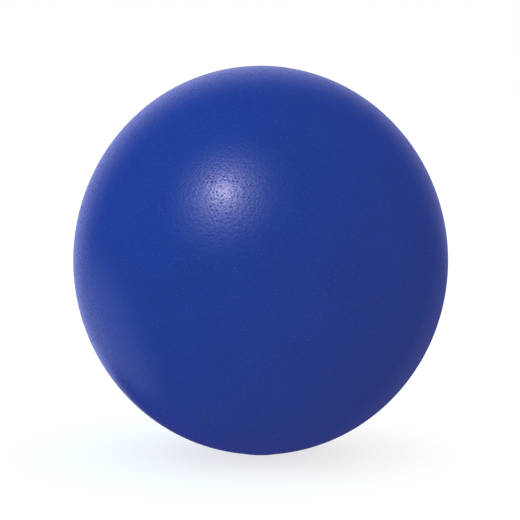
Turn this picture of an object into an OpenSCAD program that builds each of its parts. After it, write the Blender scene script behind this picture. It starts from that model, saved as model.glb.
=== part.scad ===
// Stress ball: a ball of moulded polyurethane foam under a coloured coating.
// Origin at the centre of the flat that it rests on, +Z up along its long axis, -Y to the front.
// Both mould halves are sprayed with coating, closed, and filled with foam through a gate at
// the bottom. The foam bonds to the coating, grows a dense skin against it and foams up inside.
// The flash along the mould's parting line, the XZ plane, and the gate are cut off and painted.

/* [Ball] */
// Width and depth of the ball across its middle
ball_w = 63.5; // [50:0.5:80]
// Height of the ball as moulded, before its gate is cut flat
ball_h = 65.8; // [50:0.1:84]

/* [Coating] */
// Thickness of the coloured coating
coat_t = 0.25; // [0.15:0.05:0.5]

/* [Foam] */
// Thickness of the dense skin that the foam grows against the coating
skin_t = 1.2; // [0.8:0.1:3]

/* [Gate] */
// Diameter of the gate that the foam is poured through
gate_d = 6; // [4:0.5:10]
// How far the flat left by the gate knife reaches past the gate
cut_margin = 1; // [0.5:0.1:2]
// Thickness of the touch-up paint over the cut gate
patch_t = 0.15; // [0.1:0.05:0.3]

/* [Seam] */
// Width of the paint along the trimmed flash
seam_w = 0.6; // [0.4:0.1:1.2]
// Thickness of that paint
seam_t = 0.06; // [0.04:0.02:0.14]

/* [Fit] */
// Clearance between the solids of neighbouring layers, which are bonded in the real ball
layer_gap = 0.03; // [0.02:0.01:0.1]

/* [Hidden] */
half_w = ball_w / 2;
half_h = ball_h / 2;
gate_r = gate_d / 2;
flat_r = gate_r + cut_margin;
// Height of the ball's centre, which puts a flat of radius flat_r on top of the gate's paint
centre_z = patch_t + half_h * sqrt(1 - pow(flat_r / half_w, 2));
// Depths of the foam's skin and core below the surface of the ball
skin_depth = coat_t + layer_gap;
core_depth = skin_depth + skin_t + layer_gap;
// Larger than the ball, for the squares that trim its section
past_ball = 2 * max(ball_w, ball_h);
round_fn = 128;

// Section of the ball in X and Z, with its surface moved in by depth
module oval(depth) {
    translate([0, centre_z])
        scale([1, (half_h - depth) / (half_w - depth)])
            circle(r = half_w - depth, $fn = round_fn);
}

// Section of the wall between two depths, cut flat across the gate
module wall_section(outer_depth, inner_depth) {
    difference() {
        oval(outer_depth);
        oval(inner_depth);
        below_cut();
    }
}

// Everything under the line that the gate knife cuts
module below_cut() {
    translate([-past_ball / 2, patch_t - past_ball])
        square(past_ball);
}

// The part of a section on one side of the axis, ready to be turned round it
module right_half() {
    intersection() {
        children();
        translate([0, -past_ball / 2])
            square(past_ball);
    }
}

// Section of a layer that the foam was poured through, with the gate's hole at the bottom
module poured_section(outer_depth, inner_depth) {
    right_half() difference() {
        wall_section(outer_depth, inner_depth);
        square([gate_r, centre_z]);
    }
}

// One mould half's film of coating, on the +Y side
module coat_half() {
    rotate_extrude(angle = 180, $fn = round_fn)
        poured_section(0, coat_t);
}

module coat_front() {
    color("royalblue") rotate([0, 0, 180]) coat_half();
}

module coat_rear() {
    color("mediumblue") coat_half();
}

// A point on the ball's outline in X and Z, the surface moved in by depth
function rim_point(depth, turn) = [
    (half_w - depth) * cos(turn),
    centre_z + (half_h - depth) * sin(turn)
];

// That outline in short straight lengths, fine enough to stay inside layer_gap
module rim_section(depth) {
    polygon([for (i = [0 : round_fn - 1]) rim_point(depth, 360 * i / round_fn)]);
}

// Paint brushed along the line where the two films meet and the flash was trimmed
module seam_touch_up() {
    color("navy") translate([0, seam_w / 2, 0]) rotate([90, 0, 0])
        linear_extrude(seam_w) difference() {
            rim_section(-layer_gap - seam_t);
            rim_section(-layer_gap);
            below_cut();
        }
}

// Paint brushed over the cut gate, which is the face that the ball rests on
module gate_touch_up() {
    color("darkblue") cylinder(r = flat_r, h = patch_t - layer_gap, $fn = round_fn);
}

// Dense foam against the coating
module foam_skin() {
    color("wheat") rotate_extrude($fn = round_fn)
        poured_section(skin_depth, skin_depth + skin_t);
}

// Cellular foam inside, with the stub that filled the gate
module foam_core() {
    color("cornsilk") rotate_extrude($fn = round_fn) {
        right_half() oval(core_depth);
        translate([0, patch_t])
            square([gate_r - layer_gap, centre_z]);
    }
}

coat_front();
coat_rear();
seam_touch_up();
gate_touch_up();
foam_skin();
foam_core();
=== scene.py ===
import math

import bmesh
import bpy
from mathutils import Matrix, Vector, noise


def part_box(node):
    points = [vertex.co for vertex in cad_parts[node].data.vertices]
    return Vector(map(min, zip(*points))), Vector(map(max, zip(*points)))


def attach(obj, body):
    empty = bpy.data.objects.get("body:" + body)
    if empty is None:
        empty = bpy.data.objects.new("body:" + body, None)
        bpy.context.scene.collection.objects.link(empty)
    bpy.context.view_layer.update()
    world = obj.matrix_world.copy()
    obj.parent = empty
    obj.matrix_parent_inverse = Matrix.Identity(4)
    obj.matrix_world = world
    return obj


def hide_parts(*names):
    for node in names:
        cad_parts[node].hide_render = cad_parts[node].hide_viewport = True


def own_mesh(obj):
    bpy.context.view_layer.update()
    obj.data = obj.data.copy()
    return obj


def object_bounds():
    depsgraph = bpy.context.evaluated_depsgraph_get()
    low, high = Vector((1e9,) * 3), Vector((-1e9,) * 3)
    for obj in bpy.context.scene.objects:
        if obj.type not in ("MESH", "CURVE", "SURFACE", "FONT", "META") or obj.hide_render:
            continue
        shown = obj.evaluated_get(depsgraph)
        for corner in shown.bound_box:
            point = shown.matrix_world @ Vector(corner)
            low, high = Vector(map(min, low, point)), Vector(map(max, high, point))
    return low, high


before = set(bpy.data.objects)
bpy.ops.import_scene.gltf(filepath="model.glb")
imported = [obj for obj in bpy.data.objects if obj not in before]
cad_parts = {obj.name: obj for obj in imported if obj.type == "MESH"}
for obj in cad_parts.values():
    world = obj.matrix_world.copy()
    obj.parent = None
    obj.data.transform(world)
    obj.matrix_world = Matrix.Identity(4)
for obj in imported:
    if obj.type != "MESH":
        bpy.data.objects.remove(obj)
cad_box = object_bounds()

# ---- View ----------------------------------------------------------------------------------
# The ball stands on the small flat where its pour gate was cut off. A long lens looks at it from
# a little above its middle, with the parting line of its two mould halves just round the edge.
camera_distance = 0.30
camera_height_angle = math.radians(5)
camera_aim_left = 0.000117
ball_middle = Vector((0, 0, (cad_box[1][2] - cad_box[0][2]) / 2))
view_back = Vector((0, -math.cos(camera_height_angle), math.sin(camera_height_angle)))

camera = bpy.data.objects.new("camera", bpy.data.cameras.new("camera"))
bpy.context.scene.collection.objects.link(camera)
camera.data.sensor_width = 36
camera.data.lens = 122.05
camera.data.clip_start = 0.01
camera.data.clip_end = 100
camera.location = ball_middle - Vector((camera_aim_left, 0, 0)) + view_back * camera_distance
camera.rotation_mode = "QUATERNION"
camera.rotation_quaternion = (-view_back).to_track_quat("-Z", "Y")
bpy.context.scene.camera = camera
bpy.context.scene.view_settings.view_transform = "Standard"


# ---- Studio light --------------------------------------------------------------------------
# A white room with one round umbrella light high on the left, brightest at its lamp. The matte
# colour sees the even walls, and the gloss sees a dim room, the umbrella and a lit wall behind.
def add_node(tree, kind, sockets=None, **settings):
    """A new node in tree. Its sockets are linked to the outputs, or set to the values, given."""
    made = tree.nodes.new(kind)
    for name, value in settings.items():
        setattr(made, name, value)
    for key, value in (sockets or {}).items():
        if isinstance(value, bpy.types.NodeSocket):
            tree.links.new(value, made.inputs[key])
        else:
            made.inputs[key].default_value = value
    return made


def calculated(tree, operation, *values):
    """The output of a Math node of the values, each a socket or a number."""
    return add_node(tree, "ShaderNodeMath", dict(enumerate(values)), operation=operation).outputs[0]


def mixed(tree, share, one, other):
    """A colour that turns from one into the other as share goes from 0 to 1."""
    first, second, result = 6, 7, 2  # where a Mix node has its colours
    sockets = {"Factor": share, first: one, second: other}
    return add_node(tree, "ShaderNodeMix", sockets, data_type="RGBA").outputs[result]


world = bpy.data.worlds.new("studio")
bpy.context.scene.world = world
world.use_nodes = True
world.cycles.sampling_method = "NONE"
room = world.node_tree
room.nodes.clear()
look = add_node(room, "ShaderNodeTexCoord").outputs["Generated"]


def cosine_to(direction):
    """The cosine of the angle between a look into the room and a direction of length 1."""
    sockets = {0: look, 1: direction}
    return add_node(room, "ShaderNodeVectorMath", sockets, operation="DOT_PRODUCT").outputs["Value"]


def toward(direction, low, high):
    """0 to 1 as a look into the room turns toward a direction, from low to high of its cosine."""
    cosine = cosine_to(Vector(direction).normalized())
    limits = {"Value": cosine, "From Min": low, "From Max": high}
    return add_node(room, "ShaderNodeMapRange", limits, interpolation_type="SMOOTHSTEP").outputs[0]


def glow(brightness, direction, low, high):
    """Light from round a direction, with soft edges."""
    return calculated(room, "MULTIPLY", toward(direction, low, high), brightness)


# The walls turn slowly from warm, on the lower right, to cool, on the upper left.
warm_wall = (1.27, 0.76, 0.50, 1)
cool_wall = (0.58, 1.30, 1.50, 1)
cool_side = Vector((-0.75, -0.1, 0.66)).normalized()
wall_slope = calculated(room, "MULTIPLY_ADD", cosine_to(cool_side), 0.5, 0.5)
wall_colour = mixed(room, wall_slope, warm_wall, cool_wall)

# The umbrella is brightest in its middle and fades out in every direction alike.
umbrella_tint = (1.0, 0.91, 1.07)
umbrella_direction = Vector((-0.3538, -0.6679, 0.6550)).normalized()
umbrella_fade_angle = math.radians(9.5)
umbrella_brightness = 10.8
umbrella_edge = 0.26
umbrella_cosine = calculated(room, "MINIMUM", cosine_to(umbrella_direction), 1.0)
umbrella_angle = calculated(room, "ARCCOSINE", umbrella_cosine)
angle_share = calculated(room, "DIVIDE", umbrella_angle, -umbrella_fade_angle)
umbrella_fade = calculated(room, "EXPONENT", angle_share)
faded = calculated(room, "MULTIPLY_ADD", umbrella_fade, umbrella_brightness, -umbrella_edge)
umbrella_strength = calculated(room, "MAXIMUM", faded, 0.0)

# The wall behind is lit from the left, and three windows let some more light in beside it.
wall_brightness = 0.03
wall_brightness_from_left = 0.44
behind = toward((0, 1, 0), 0.42, 0.97)
above_floor = toward((-0.35, 0, 0.94), -0.285, -0.135)
from_left = toward((-1, 0, 0), -0.62, 0.16)
back_wall = calculated(room, "MULTIPLY", behind, above_floor)
wall_light = calculated(
    room, "MULTIPLY_ADD", from_left, wall_brightness_from_left, wall_brightness
)
low_window = glow(0.30, (-0.84, 0.38, -0.40), 0.88, 0.985)
right_window = glow(0.06, (0.50, 0.80, -0.27), 0.90, 1.0)
high_window = glow(0.09, (0.50, 0.83, 0.22), 0.94, 1.0)
back_strength = calculated(room, "MULTIPLY", back_wall, wall_light)
for window in (low_window, right_window, high_window):
    back_strength = calculated(room, "ADD", back_strength, window)

# A little light also fills the front and the back of the room.
front_strength = glow(0.10, (0, -1, 0), -0.95, 0.10)
dim_strength = glow(0.055, (0, 1, 0), -0.10, 0.90)

gloss_lights = []
for tint, strength in (
    (umbrella_tint, umbrella_strength),
    (umbrella_tint, front_strength),
    ((1.0, 1.11, 1.85), back_strength),
    ((1.0, 0.8, 3.9), dim_strength),
):
    light = {"Color": (*tint, 1), "Strength": strength}
    gloss_lights.append(add_node(room, "ShaderNodeBackground", light).outputs[0])
gloss_room = gloss_lights[0]
for light in gloss_lights[1:]:
    gloss_room = add_node(room, "ShaderNodeAddShader", {0: gloss_room, 1: light}).outputs[0]
matte_room = add_node(room, "ShaderNodeBackground", {"Color": wall_colour}).outputs[0]
white_room = add_node(room, "ShaderNodeBackground", {"Color": (1, 1, 1, 1)}).outputs[0]
ray = add_node(room, "ShaderNodeLightPath").outputs
choice = {0: ray["Is Glossy Ray"], 1: matte_room, 2: gloss_room}
lit_room = add_node(room, "ShaderNodeMixShader", choice).outputs[0]
choice = {0: ray["Is Camera Ray"], 1: lit_room, 2: white_room}
whole_room = add_node(room, "ShaderNodeMixShader", choice).outputs[0]
add_node(room, "ShaderNodeOutputWorld", {"Surface": whole_room})

# The lamp in the umbrella's middle adds to its gloss only.
lamp_distance = 1.2
lamp_half_angle = math.radians(2)
lamp = bpy.data.lights.new("umbrella_lamp", "AREA")
lamp.shape = "DISK"
lamp.size = 2 * lamp_distance * math.tan(lamp_half_angle)
lamp.energy = 1.0
lamp.color = umbrella_tint
umbrella_lamp = bpy.data.objects.new("umbrella_lamp", lamp)
bpy.context.scene.collection.objects.link(umbrella_lamp)
umbrella_lamp.location = ball_middle + umbrella_direction * lamp_distance
umbrella_lamp.rotation_mode = "QUATERNION"
umbrella_lamp.rotation_quaternion = (-umbrella_direction).to_track_quat("-Z", "Y")
umbrella_lamp.visible_camera = False
umbrella_lamp.visible_diffuse = False

# ---- Floor ---------------------------------------------------------------------------------
# A table of white acrylic sheet lit from underneath, which runs out of sight into the white
# room and leaves only a faint shadow where the ball touches it.
reach = 20
floor_corners = [(-reach, -reach, 0), (reach, -reach, 0), (reach, reach, 0), (-reach, reach, 0)]
floor_mesh = bpy.data.meshes.new("floor")
floor_mesh.from_pydata(floor_corners, [], [(0, 1, 2, 3)])
floor = bpy.data.objects.new("floor", floor_mesh)
bpy.context.scene.collection.objects.link(floor)

acrylic = bpy.data.materials.new("lit_acrylic")
acrylic.use_nodes = True
acrylic_shader = acrylic.node_tree.nodes["Principled BSDF"]
acrylic_shader.inputs["Base Color"].default_value = (0.46, 0.37, 0.36, 1)
acrylic_shader.inputs["Roughness"].default_value = 1
acrylic_shader.inputs["Specular IOR Level"].default_value = 0
acrylic_shader.inputs["Emission Color"].default_value = (1, 1, 1, 1)
acrylic_shader.inputs["Emission Strength"].default_value = 0.72
floor_mesh.materials.append(acrylic)
floor.visible_diffuse = False
floor.visible_glossy = False
floor.visible_shadow = False

# ---- Coating -------------------------------------------------------------------------------
# A quarter-millimetre film of soft blue polyurethane, sprayed into both halves of the mould
# before the foam is poured. Where it dried over the mould's release wax it has tiny open pits.
film_low, film_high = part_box("coat_front")
flat_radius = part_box("gate_touch_up")[1].x
cut_z = film_low.z
half_width = film_high.x
half_height = (film_high.z - cut_z) / (1 + math.sqrt(1 - (flat_radius / half_width) ** 2))
centre_z = film_high.z - half_height
film_thickness = 0.00025
gate_radius = 0.003

# A cell's size on a ball of radius 1 is this, halved as many times as its fineness says.
coarsest_cell = 2.42
cell_unevenness = 0.36
ripple_scale = 17.0
pit_width_spread = (0.55, 1.4)
pit_depth_scale = 60.0
pit_point_size = 1e-5
on_plane = 2e-7


def vector(tree, x=0.0, y=0.0, z=0.0):
    """A vector of three sockets or numbers."""
    return add_node(tree, "ShaderNodeCombineXYZ", {0: x, 1: y, 2: z}).outputs[0]


def scaled(tree, place, scale):
    """A vector made longer or shorter."""
    sockets = {0: place, "Scale": scale}
    return add_node(tree, "ShaderNodeVectorMath", sockets, operation="SCALE").outputs[0]


def noise_at(tree, place, scale, detail, roughness=0.5):
    """Random values between 0 and 1 that change smoothly from place to place."""
    sockets = {"Vector": place, "Scale": scale, "Detail": detail, "Roughness": roughness}
    return add_node(tree, "ShaderNodeTexNoise", sockets).outputs[0]


def between(tree, kind, low, high, seed):
    """Random numbers or vectors from low to high, one for each point or face."""
    lowest, highest, result = {"FLOAT_VECTOR": (0, 1, 0), "FLOAT": (2, 3, 1)}[kind]
    sockets = {lowest: low, highest: high, "Seed": seed}
    return add_node(tree, "FunctionNodeRandomValue", sockets, data_type=kind).outputs[result]


def moved(tree, surface, place, chosen=True):
    """A surface with its chosen points set at a place."""
    sockets = {"Geometry": surface, "Selection": chosen, "Position": place}
    return add_node(tree, "GeometryNodeSetPosition", sockets).outputs[0]


def stepped(tree, surface, faces, scale):
    """The surface with a smaller face inside each of the faces, and the smaller faces, and the
    ones round them."""
    sockets = {"Mesh": surface, "Selection": faces, "Offset Scale": 0.0, "Individual": True}
    step = add_node(tree, "GeometryNodeExtrudeMesh", sockets, mode="FACES").outputs
    sockets = {"Geometry": step["Mesh"], "Selection": step["Top"], "Scale": scale}
    sized = add_node(tree, "GeometryNodeScaleElements", sockets, domain="FACE").outputs[0]
    return sized, step["Top"], step["Side"]


def surface_tree(name, inputs):
    """A new tree of geometry nodes with named inputs, and the sockets that bring them in."""
    tree = bpy.data.node_groups.new(name, "GeometryNodeTree")
    for label, kind in inputs.items():
        tree.interface.new_socket(label, in_out="INPUT", socket_type="NodeSocket" + kind)
    tree.interface.new_socket("Surface", in_out="OUTPUT", socket_type="NodeSocketGeometry")
    return tree, add_node(tree, "NodeGroupInput").outputs


def end_tree(tree, surface, finish):
    """Ends a tree with a real surface in its material."""
    real = add_node(tree, "GeometryNodeRealizeInstances", {"Geometry": surface}).outputs[0]
    sockets = {"Geometry": real, "Material": finish}
    finished = add_node(tree, "GeometryNodeSetMaterial", sockets).outputs[0]
    add_node(tree, "NodeGroupOutput", {"Surface": finished})


def rippled_cells(tree, given, place):
    """A ball of radius 1 made of uneven cells. They are the cells round the corners of a fine
    triangle ball, whose corners are pushed about first."""
    sockets = {"Radius": 1, "Subdivisions": given["Fineness"]}
    ball = add_node(tree, "GeometryNodeMeshIcoSphere", sockets).outputs[0]
    low = calculated(tree, "MULTIPLY", given["Unevenness"], -1.0)
    high = given["Unevenness"]
    corners = (vector(tree, low, low, low), vector(tree, high, high, high))
    push = between(tree, "FLOAT_VECTOR", *corners, given["Seed"])
    sockets = {"Geometry": ball, "Offset": push}
    pushed = add_node(tree, "GeometryNodeSetPosition", sockets).outputs[0]
    cells = add_node(tree, "GeometryNodeDualMesh", {"Mesh": pushed}).outputs[0]

    ripples = noise_at(tree, place, ripple_scale, 1.0)
    lowered = calculated(tree, "MULTIPLY", ripples, given["Ripple"])
    radius = calculated(tree, "MULTIPLY_ADD", lowered, -1.0, 1.0)
    outward = add_node(tree, "ShaderNodeVectorMath", {0: place}, operation="NORMALIZE").outputs[0]
    return moved(tree, cells, scaled(tree, outward, radius))


def cells_to_open(tree, given, place):
    """A share of the cells, drawn at random, with none at the seam or at the gate."""
    parts = add_node(tree, "ShaderNodeSeparateXYZ", {0: place}).outputs
    from_seam = calculated(tree, "ABSOLUTE", parts["Y"])
    off_seam = calculated(tree, "GREATER_THAN", from_seam, given["Clear Of Seam"])
    off_gate = calculated(tree, "GREATER_THAN", parts["Z"], given["Clear Of Gate"])
    sockets = {
        "Probability": given["Pit Share"],
        "Seed": calculated(tree, "ADD", given["Seed"], 1.0),
    }
    drawn = add_node(tree, "FunctionNodeRandomValue", sockets, data_type="BOOLEAN").outputs[3]
    clear = calculated(tree, "MULTIPLY", off_seam, off_gate)
    return calculated(tree, "MULTIPLY", clear, drawn)


def pitted_ball_tree():
    """Geometry nodes for a ball's surface of uneven cells, some of them sunk as pointed pits."""
    tree, given = surface_tree(
        "pitted_ball",
        {
            "Half Width": "Float",
            "Half Height": "Float",
            "Centre Height": "Float",
            "Fineness": "Int",
            "Unevenness": "Float",
            "Ripple": "Float",
            "Pit Share": "Float",
            "Pit Width": "Float",
            "Pit Depth": "Float",
            "Clear Of Seam": "Float",
            "Clear Of Gate": "Float",
            "Seed": "Int",
            "Finish": "Material",
        },
    )
    place = add_node(tree, "GeometryNodeInputPosition").outputs[0]
    cells = rippled_cells(tree, given, place)

    # Each pit has a rim inside its cell, and a second, sunk step that shrinks to a point.
    spread = between(tree, "FLOAT", *pit_width_spread, given["Seed"])
    rim_width = calculated(tree, "MULTIPLY", given["Pit Width"], spread)
    rims, rim_tops, _ = stepped(tree, cells, cells_to_open(tree, given, place), rim_width)
    pits, pit_tops, pit_sides = stepped(tree, rims, rim_tops, 0.0)
    depths = noise_at(tree, place, pit_depth_scale, 0.0)
    depth_share = calculated(tree, "MULTIPLY_ADD", depths, 0.8, 0.4)
    sink = calculated(tree, "MULTIPLY", given["Pit Depth"], depth_share)
    sunk_place = scaled(tree, place, calculated(tree, "SUBTRACT", 1.0, sink))
    sunk = moved(tree, pits, sunk_place, pit_tops)

    # The finish finds the pits by this mark, and they alone are flat shaded.
    pit_faces = calculated(tree, "MAXIMUM", pit_tops, pit_sides)
    marks = {"Geometry": sunk, "Name": "pit", "Value": pit_faces}
    marked = add_node(
        tree, "GeometryNodeStoreNamedAttribute", marks, data_type="FLOAT", domain="FACE"
    )
    outer_faces = calculated(tree, "SUBTRACT", 1.0, pit_faces)
    sockets = {"Geometry": marked.outputs[0], "Shade Smooth": outer_faces}
    smooth = add_node(tree, "GeometryNodeSetShadeSmooth", sockets).outputs[0]
    sockets = {"Geometry": smooth, "Distance": pit_point_size}
    pointed = add_node(tree, "GeometryNodeMergeByDistance", sockets).outputs[0]

    # The round ball is drawn out to the real one's width and height, at its place.
    width, height = given["Half Width"], given["Half Height"]
    size = vector(tree, width, width, height)
    lift = vector(tree, z=given["Centre Height"])
    sockets = {0: place, 1: size, 2: lift}
    sized = add_node(tree, "ShaderNodeVectorMath", sockets, operation="MULTIPLY_ADD").outputs[0]
    end_tree(tree, moved(tree, pointed, sized), given["Finish"])
    return tree


pitted_ball = pitted_ball_tree()


def made_surface(tree, values):
    """The plain mesh, as triangles, that a tree of geometry nodes makes from the named values."""
    holder = bpy.data.objects.new("holder", bpy.data.meshes.new("holder"))
    bpy.context.scene.collection.objects.link(holder)
    modifier = holder.modifiers.new("surface", "NODES")
    modifier.node_group = tree
    names = {s.name: s.identifier for s in tree.interface.items_tree if s.in_out == "INPUT"}
    for name, value in values.items():
        modifier[names[name]] = value
    graph = bpy.context.evaluated_depsgraph_get()
    made = bpy.data.meshes.new_from_object(holder.evaluated_get(graph))
    bpy.data.objects.remove(holder)
    surface = bmesh.new()
    surface.from_mesh(made)
    bmesh.ops.triangulate(surface, faces=surface.faces[:])
    surface.to_mesh(made)
    surface.free()
    return made


def ball_surface(
    depth,
    fineness,
    finish,
    seed,
    ripple=0.0,
    pit_share=0.0,
    pit_width=0.5,
    pit_depth=0.0,
    clear_of_seam=0.0,
    clear_of_gate=0.0,
):
    """The ball's surface moved in by depth. pit_share is a share of the cells, and pit_width is
    a share of a cell's width."""
    return made_surface(
        pitted_ball,
        {
            "Half Width": half_width - depth,
            "Half Height": half_height - depth,
            "Centre Height": centre_z,
            "Fineness": fineness,
            "Unevenness": coarsest_cell / 2**fineness * cell_unevenness,
            "Ripple": ripple / half_width,
            "Pit Share": pit_share,
            "Pit Width": pit_width,
            "Pit Depth": pit_depth / half_width,
            "Clear Of Seam": clear_of_seam / half_width,
            "Clear Of Gate": clear_of_gate / half_height - 1,
            "Seed": seed,
            "Finish": finish,
        },
    )


def cut_off(surface, point, outward):
    """Removes what lies past a plane, and returns the points along the cut, set on the plane."""
    bmesh.ops.bisect_plane(
        surface,
        geom=surface.verts[:] + surface.edges[:] + surface.faces[:],
        dist=on_plane / 2,
        plane_co=point,
        plane_no=outward,
        clear_outer=True,
    )
    edge = [v for v in surface.verts if v.is_boundary]
    cut = [v for v in edge if abs((v.co - point).dot(outward)) < on_plane]
    for vert in cut:
        vert.co -= outward * (vert.co - point).dot(outward)
    return cut


def joined(shell, lining):
    """Adds a second open surface to the first, and returns the points along its open edge."""
    first_rim = {v for v in shell.verts if v.is_boundary}
    lining_mesh = bpy.data.meshes.new("lining")
    lining.to_mesh(lining_mesh)
    lining.free()
    shell.from_mesh(lining_mesh)
    bpy.data.meshes.remove(lining_mesh)
    return [v for v in shell.verts if v.is_boundary and v not in first_rim]


def stitch(shell, one, other):
    """Adds a strip of triangles between two rows of (place, point), both in order of place."""
    i = j = 0
    while i < len(one) - 1 or j < len(other) - 1:
        if j == len(other) - 1 or (i < len(one) - 1 and one[i + 1][0] < other[j + 1][0]):
            shell.faces.new((one[i][1], one[i + 1][1], other[j][1]))
            i += 1
        else:
            shell.faces.new((one[i][1], other[j + 1][1], other[j][1]))
            j += 1


def in_order(verts, place_of):
    """A row of (place, point), in order of place."""
    return sorted(((place_of(v), v) for v in verts), key=lambda row: row[0])


def finished_piece(name, shell, finish):
    """A closed bmesh made the named object, with its faces turned outwards."""
    bmesh.ops.recalc_face_normals(shell, faces=shell.faces[:])
    mesh = bpy.data.meshes.new(name)
    shell.to_mesh(mesh)
    shell.free()
    mesh.materials.append(finish)
    piece = bpy.data.objects.new(name, mesh)
    bpy.context.scene.collection.objects.link(piece)
    return piece


def up_the_rim(vert):
    """How far round the seam a point is, as an angle from straight down, from 0 to a turn."""
    return math.atan2(vert.co.x, centre_z - vert.co.z) % math.tau


def round_the_front(vert):
    """How far round the axis a point is from +X, on whichever side of the seam it is."""
    return math.atan2(abs(vert.co.y), vert.co.x)


def height_of_layer(depth, radius):
    """How high the bottom of a layer is, at a distance from the ball's axis."""
    share = radius / (half_width - depth)
    return centre_z - (half_height - depth) * math.sqrt(1 - share * share)


def gate_edge(verts, level):
    """The points of a half's edge that lie round the gate at a level, from +X to -X."""
    near = [v for v in verts if abs(v.co.z - level) < on_plane and abs(v.co.x) < 2 * flat_radius]
    return in_order(near, round_the_front)


def coating_half(name, outside, inside, side):
    """One half of the film as a closed shell: pitted outside, smooth inside, open at the gate."""
    seam_plane = (Vector((0, 0, 0)), Vector((0, -side, 0)))
    shell = bmesh.new()
    shell.from_mesh(outside)
    cut_off(shell, *seam_plane)
    cut_off(shell, Vector((0, 0, cut_z)), Vector((0, 0, -1)))
    outer_rim = [v for v in shell.verts if v.is_boundary]

    lining = bmesh.new()
    lining.from_mesh(inside)
    hole_z = height_of_layer(film_thickness, gate_radius)
    cut_off(lining, *seam_plane)
    cut_off(lining, Vector((0, 0, hole_z)), Vector((0, 0, -1)))
    inner_rim = joined(shell, lining)

    outer_gate, inner_gate = gate_edge(outer_rim, cut_z), gate_edge(inner_rim, hole_z)
    hole_edge = []
    for angle, vert in inner_gate:
        vert.co.x = gate_radius * math.cos(angle)
        vert.co.y = side * gate_radius * math.sin(angle)
        hole_edge.append((angle, shell.verts.new((vert.co.x, vert.co.y, cut_z))))
    stitch(shell, outer_gate, hole_edge)
    stitch(shell, hole_edge, inner_gate)

    # Both rows run from just right of the gate, over the top, to just left of it.
    outer_seam = [v for v in outer_rim if abs(v.co.y) < on_plane]
    outer_seam += [hole_edge[0][1], hole_edge[-1][1]]
    inner_seam = [v for v in inner_rim if abs(v.co.y) < on_plane]
    stitch(shell, in_order(outer_seam, up_the_rim), in_order(inner_seam, up_the_rim))
    return finished_piece(name, shell, blue_coating)


def sprayed_grain_group():
    """The fine grain of a dried spray or brush coat: a slow mottle, a grain and its bump."""
    group = bpy.data.node_groups.new("sprayed_grain", "ShaderNodeTree")
    for name in ("Mottle Scale", "Grain Scale", "Stretch Along", "Bump Strength", "Bump Height"):
        group.interface.new_socket(name, in_out="INPUT", socket_type="NodeSocketFloat")
    for name, kind in (("Mottle", "Float"), ("Grain", "Float"), ("Normal", "Vector")):
        group.interface.new_socket(name, in_out="OUTPUT", socket_type="NodeSocket" + kind)
    given = add_node(group, "NodeGroupInput").outputs
    place = add_node(group, "ShaderNodeTexCoord").outputs["Object"]
    parts = add_node(group, "ShaderNodeSeparateXYZ", {0: place}).outputs
    along = calculated(group, "MULTIPLY", parts["Y"], given["Stretch Along"])
    streaked = vector(group, parts["X"], along, parts["Z"])
    mottle = noise_at(group, place, given["Mottle Scale"], 2.0)
    grain = noise_at(group, streaked, given["Grain Scale"], 2.0, 0.6)
    sockets = {"Strength": given["Bump Strength"], "Distance": given["Bump Height"]}
    bump = add_node(group, "ShaderNodeBump", {**sockets, "Height": grain}).outputs[0]
    add_node(group, "NodeGroupOutput", {"Mottle": mottle, "Grain": grain, "Normal": bump})
    return group


sprayed_grain = sprayed_grain_group()
pit_roughness = 0.65
# Painted shade: how far the pits' colour is darkened toward black.
painted_pit_shade = 0.13


def soft_finish(name, dark, light, roughness, grain):
    """A material whose colour varies from dark to light, and its roughness over a range. The
    pits in it are matte, and painted shade makes their colour a little darker."""
    material = bpy.data.materials.new(name)
    material.use_nodes = True
    tree = material.node_tree
    shader = tree.nodes["Principled BSDF"]
    effect = add_node(tree, "ShaderNodeGroup", node_tree=sprayed_grain)
    for key, value in grain.items():
        effect.inputs[key].default_value = value
    pit = add_node(tree, "ShaderNodeAttribute", attribute_name="pit").outputs["Fac"]

    limits = {"Value": effect.outputs["Mottle"], "From Min": 0.3, "From Max": 0.7}
    share = add_node(tree, "ShaderNodeMapRange", limits).outputs[0]
    colour = mixed(tree, share, (*dark, 1), (*light, 1))
    # Painted shade in the pits: their colour is darkened toward black, as if shade fell in the
    # hollows.
    shade = calculated(tree, "MULTIPLY", pit, painted_pit_shade)
    tree.links.new(mixed(tree, shade, colour, (0, 0, 0, 1)), shader.inputs["Base Color"])

    limits = {"Value": effect.outputs["Grain"], "From Min": 0.3, "From Max": 0.7}
    limits.update({"To Min": roughness[0], "To Max": roughness[1]})
    rough = add_node(tree, "ShaderNodeMapRange", limits).outputs[0]
    matte = calculated(tree, "MULTIPLY", pit, pit_roughness)
    tree.links.new(calculated(tree, "MAXIMUM", rough, matte), shader.inputs["Roughness"])
    tree.links.new(effect.outputs["Normal"], shader.inputs["Normal"])
    return material


blue_coating = soft_finish(
    "blue_coating",
    dark=(0.0080, 0.0362, 0.268),
    light=(0.0088, 0.0385, 0.285),
    roughness=(0.19, 0.23),
    grain={
        "Mottle Scale": 120.0,
        "Grain Scale": 2100.0,
        "Stretch Along": 1.0,
        "Bump Strength": 1.0,
        "Bump Height": 0.000036,
    },
)
coating_outside = ball_surface(
    0.0,
    7,
    blue_coating,
    seed=5,
    ripple=0.000012,
    pit_share=0.38,
    pit_width=0.37,
    pit_depth=0.000026,
    clear_of_seam=0.0009,
    clear_of_gate=0.0009,
)
coating_inside = ball_surface(film_thickness, 5, blue_coating, seed=6)
for half, side in (("front", -1), ("rear", 1)):
    piece = coating_half(half + "_coating", coating_outside, coating_inside, side)
    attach(piece, half)
    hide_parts("coat_" + half)
    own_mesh(piece)

# ---- Seam paint ----------------------------------------------------------------------------
# The flash along the mould's parting line is trimmed off by hand, and the thin line of bare
# foam that shows is touched up with matching paint, drawn round with a fine brush.
seam_line_width = 0.00062
seam_line_thickness = 0.00007
seam_line_lift = 0.000004
seam_line_waviness = 0.9
seam_line_steps = 900
seam_line_to_flat = 0.0009


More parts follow.
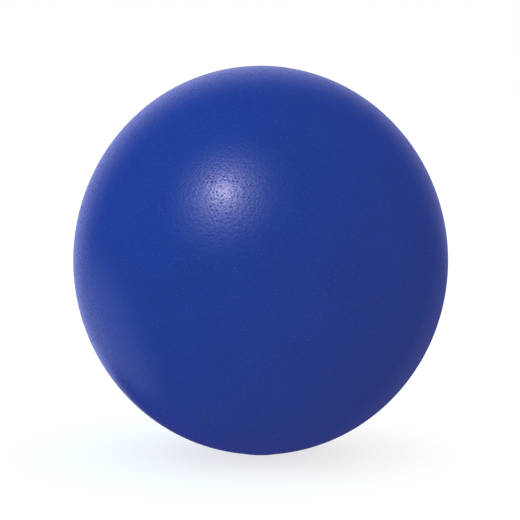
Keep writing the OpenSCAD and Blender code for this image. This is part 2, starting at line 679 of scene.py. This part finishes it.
def curve_with_places(tree, curve, place):
    """A curve, and the places of its points as they are before it is made into a mesh."""
    capture = tree.nodes.new("GeometryNodeCaptureAttribute")
    capture.capture_items.new("VECTOR", "Place")
    tree.links.new(curve, capture.inputs[0])
    tree.links.new(place, capture.inputs[1])
    return capture.outputs[0], capture.outputs[1]


def brushed_line_tree():
    """Geometry nodes for a low line of paint of uneven width, brushed round the ball's rim."""
    tree, given = surface_tree(
        "brushed_line",
        {
            "Half Width": "Float",
            "Half Height": "Float",
            "Centre Height": "Float",
            "Steps": "Int",
            "Start Angle": "Float",
            "Line Width": "Float",
            "Line Thickness": "Float",
            "Waviness": "Float",
            "Finish": "Material",
        },
    )
    place = add_node(tree, "GeometryNodeInputPosition").outputs[0]

    # The rim is walked from just right of the gate, over the top, to just left of it.
    sockets = {
        "Resolution": given["Steps"],
        "Radius": 1.0,
        "Start Angle": calculated(tree, "SUBTRACT", given["Start Angle"], math.pi / 2),
        "Sweep Angle": calculated(tree, "MULTIPLY_ADD", given["Start Angle"], -2.0, math.tau),
    }
    rim = add_node(tree, "GeometryNodeCurveArc", sockets, mode="RADIUS").outputs[0]
    sockets = {"Resolution": 16, "Radius": 1.0}
    rounding = add_node(tree, "GeometryNodeCurvePrimitiveCircle", sockets).outputs[0]
    rim, rim_place = curve_with_places(tree, rim, place)
    section, section_place = curve_with_places(tree, rounding, place)
    sockets = {"Curve": rim, "Profile Curve": section, "Fill Caps": True}
    line = add_node(tree, "GeometryNodeCurveToMesh", sockets).outputs[0]
    rim_x, rim_z = add_node(tree, "ShaderNodeSeparateXYZ", {0: rim_place}).outputs[:2]
    aside, upward = add_node(tree, "ShaderNodeSeparateXYZ", {0: section_place}).outputs[:2]

    # Each edge of the line wanders by itself.
    edge_side = calculated(tree, "MULTIPLY", calculated(tree, "SIGN", aside), 3.0)
    wander = noise_at(tree, vector(tree, rim_x, rim_z, edge_side), 22.0, 3.0, 0.6)
    wander = calculated(tree, "SUBTRACT", wander, 0.5)
    half_line = calculated(tree, "MULTIPLY_ADD", wander, given["Waviness"], 0.5)
    reach_y = calculated(tree, "MULTIPLY", half_line, given["Line Width"])
    line_y = calculated(tree, "MULTIPLY", reach_y, aside)

    # The line is flat underneath, rounded on top, and ridged along its length by the bristles.
    ridge_place = vector(tree, rim_x, rim_z, calculated(tree, "MULTIPLY", aside, 0.7))
    ridges = calculated(tree, "ADD", noise_at(tree, ridge_place, 6.0, 2.0), 0.35)
    body = calculated(tree, "MAXIMUM", upward, 0.0)
    ridged_body = calculated(tree, "MULTIPLY", body, ridges)
    height = calculated(tree, "MULTIPLY", ridged_body, given["Line Thickness"])

    # The ball falls away on both sides of its rim, and the line follows it.
    square = calculated(tree, "MULTIPLY", line_y, line_y)
    ball_width = calculated(tree, "MULTIPLY", given["Half Width"], 2.0)
    raised = calculated(tree, "SUBTRACT", height, calculated(tree, "DIVIDE", square, ball_width))
    reach_x = calculated(tree, "ADD", given["Half Width"], raised)
    reach_z = calculated(tree, "ADD", given["Half Height"], raised)
    line_x = calculated(tree, "MULTIPLY", rim_x, reach_x)
    line_z = calculated(tree, "MULTIPLY_ADD", rim_z, reach_z, given["Centre Height"])
    laid = moved(tree, line, vector(tree, line_x, line_y, line_z))
    smooth = add_node(tree, "GeometryNodeSetShadeSmooth", {"Geometry": laid}).outputs[0]
    end_tree(tree, smooth, given["Finish"])
    return tree


blue_touch_up = soft_finish(
    "blue_touch_up",
    dark=(0.0075, 0.0290, 0.205),
    light=(0.0095, 0.0365, 0.262),
    roughness=(0.36, 0.48),
    grain={
        "Mottle Scale": 400.0,
        "Grain Scale": 700.0,
        "Stretch Along": 9.0,
        "Bump Strength": 0.35,
        "Bump Height": 0.00003,
    },
)
seam_surface = made_surface(
    brushed_line_tree(),
    {
        "Half Width": half_width + seam_line_lift,
        "Half Height": half_height + seam_line_lift,
        "Centre Height": centre_z,
        "Steps": seam_line_steps,
        "Start Angle": math.atan2(flat_radius + seam_line_to_flat, half_height),
        "Line Width": seam_line_width,
        "Line Thickness": seam_line_thickness,
        "Waviness": seam_line_waviness,
        "Finish": blue_touch_up,
    },
)
seam_shell = bmesh.new()
seam_shell.from_mesh(seam_surface)
seam_paint = finished_piece("seam_paint", seam_shell, blue_touch_up)
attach(seam_paint, "core")
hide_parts("seam_touch_up")
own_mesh(seam_paint)

# ---- Gate paint ----------------------------------------------------------------------------
# The stub of foam left in the pour gate is cut off flat, and the bare cut is dabbed over with
# the same paint. It spreads a little past the flat, and the ball rests on it.
dab_spokes = 120
dab_spread = 0.00055
dab_waves = 0.0003
dab_ripples = 0.00012
dab_gap = 0.000004
curl_thickness = 0.0001
curl_edge_thickness = 0.00001
curl_rise_share = 0.2
brush_mark_depth = 0.000015
flat_shares = (0.15, 0.3, 0.45, 0.6, 0.75, 0.88, 0.96, 1.0)
curl_shares = (0.08, 0.2, 0.4, 0.65, 0.85, 1.0)


def dab_edge(angle):
    """How far the paint reaches from the axis at an angle, as it was dabbed on."""
    around = Vector((math.cos(angle), math.sin(angle), 0)) * 1.7
    uneven = dab_waves * noise.noise(around) + dab_ripples * noise.noise(around * 4)
    return flat_radius + dab_spread + uneven


def brush_mark(share, angle):
    """How deep the bristles' marks are in the flat of the paint, fading out at its rim."""
    x, y = share * math.cos(angle), share * math.sin(angle)
    mark = 1 + noise.noise(Vector((x * 2, y * 14, 3)))
    return brush_mark_depth * mark * (1 - share) ** 0.5


def dab_outline(angle):
    """Distances from the axis and heights, from the underside's middle to the upper side's."""
    curl = [flat_radius + share * (dab_edge(angle) - flat_radius) for share in curl_shares]
    outline = [(share * flat_radius, brush_mark(share, angle)) for share in flat_shares]
    for share, radius in zip(curl_shares, curl):
        film = curl_thickness + share * (curl_edge_thickness - curl_thickness)
        rise = min(1, share / curl_rise_share)
        outline.append((radius, (height_of_layer(0, radius) - film) * rise))
    for radius in reversed(curl[:-1]):
        outline.append((radius, height_of_layer(0, radius) - dab_gap))
    for share in reversed(flat_shares):
        outline.append((share * flat_radius, cut_z - dab_gap))
    return outline


dab = bmesh.new()
spokes = []
for spoke in range(dab_spokes):
    angle = math.tau * spoke / dab_spokes
    ends = [(r * math.cos(angle), r * math.sin(angle), z) for r, z in dab_outline(angle)]
    spokes.append([dab.verts.new(end) for end in ends])
underside_middle = dab.verts.new((0, 0, brush_mark(0, 0)))
upper_middle = dab.verts.new((0, 0, cut_z - dab_gap))
for one, other in zip(spokes, spokes[1:] + spokes[:1]):
    for low, high in zip(range(len(one) - 1), range(1, len(one))):
        dab.faces.new((one[low], one[high], other[high], other[low]))
    dab.faces.new((underside_middle, one[0], other[0]))
    dab.faces.new((upper_middle, other[-1], one[-1]))
for face in dab.faces:
    face.smooth = True
gate_paint = finished_piece("gate_paint", dab, blue_touch_up)
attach(gate_paint, "core")
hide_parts("gate_touch_up")
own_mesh(gate_paint)

# ---- Foam skin -----------------------------------------------------------------------------
# Where the rising polyurethane foam meets the mould wall its cells collapse, and it sets as a
# dense cream rind a little over a millimetre thick, bonded to the coating all over.
bond_gap = 0.00003
skin_thickness = 0.0012
skin_depth = film_thickness + bond_gap
lining_depth = skin_depth + skin_thickness


def ring_of(verts, radius):
    """Points round the axis set at a radius, in order of angle, with the first again at the end."""
    ring = in_order(verts, lambda v: math.atan2(v.co.y, v.co.x))
    for angle, vert in ring:
        vert.co.x = radius * math.cos(angle)
        vert.co.y = radius * math.sin(angle)
    return ring + [(ring[0][0] + math.tau, ring[0][1])]


def opened_layer(surface, depth, radius):
    """A layer's surface in a bmesh, open at the gate, and the ring of points round the opening."""
    layer = bmesh.new()
    layer.from_mesh(surface)
    rim = cut_off(layer, Vector((0, 0, height_of_layer(depth, radius))), Vector((0, 0, -1)))
    return layer, ring_of(rim, radius)


dense_foam = soft_finish(
    "dense_foam",
    dark=(0.62, 0.50, 0.32),
    light=(0.72, 0.61, 0.42),
    roughness=(0.75, 0.9),
    grain={
        "Mottle Scale": 90.0,
        "Grain Scale": 2600.0,
        "Stretch Along": 1.0,
        "Bump Strength": 0.5,
        "Bump Height": 0.0001,
    },
)
skin_outside = ball_surface(
    skin_depth,
    6,
    dense_foam,
    seed=21,
    pit_share=0.7,
    pit_width=0.4,
    pit_depth=0.0002,
    clear_of_gate=0.0006,
)
skin_inside = ball_surface(lining_depth, 6, dense_foam, seed=22)
skin, skin_opening = opened_layer(skin_outside, skin_depth, gate_radius)
skin_lining, _ = opened_layer(skin_inside, lining_depth, gate_radius)
stitch(skin, skin_opening, ring_of(joined(skin, skin_lining), gate_radius))
skin_foam = finished_piece("skin_foam", skin, dense_foam)
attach(skin_foam, "core")
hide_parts("foam_skin")
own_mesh(skin_foam)

# ---- Foam core -----------------------------------------------------------------------------
# The rest of the same pour: soft, slow-rising cellular foam that fills the ball and gives way
# in the hand. Its stub fills the gate down to the cut.
core_depth = lining_depth + bond_gap
stub_radius = gate_radius - bond_gap
open_foam = soft_finish(
    "open_foam",
    dark=(0.66, 0.56, 0.38),
    light=(0.80, 0.71, 0.52),
    roughness=(0.85, 0.95),
    grain={
        "Mottle Scale": 140.0,
        "Grain Scale": 1100.0,
        "Stretch Along": 1.0,
        "Bump Strength": 0.8,
        "Bump Height": 0.0003,
    },
)
core_outside = ball_surface(
    core_depth,
    6,
    open_foam,
    seed=31,
    pit_share=0.88,
    pit_width=0.62,
    pit_depth=0.0007,
    clear_of_gate=0.0006,
)
core, core_opening = opened_layer(core_outside, core_depth, stub_radius)
stub_end = []
for angle, vert in core_opening[:-1]:
    stub_end.append((angle, core.verts.new((vert.co.x, vert.co.y, cut_z))))
core.faces.new([vert for angle, vert in stub_end])
stub_end.append((core_opening[-1][0], stub_end[0][1]))
stitch(core, core_opening, stub_end)
core_foam = finished_piece("core_foam", core, open_foam)
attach(core_foam, "core")
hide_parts("foam_core")
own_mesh(core_foam)
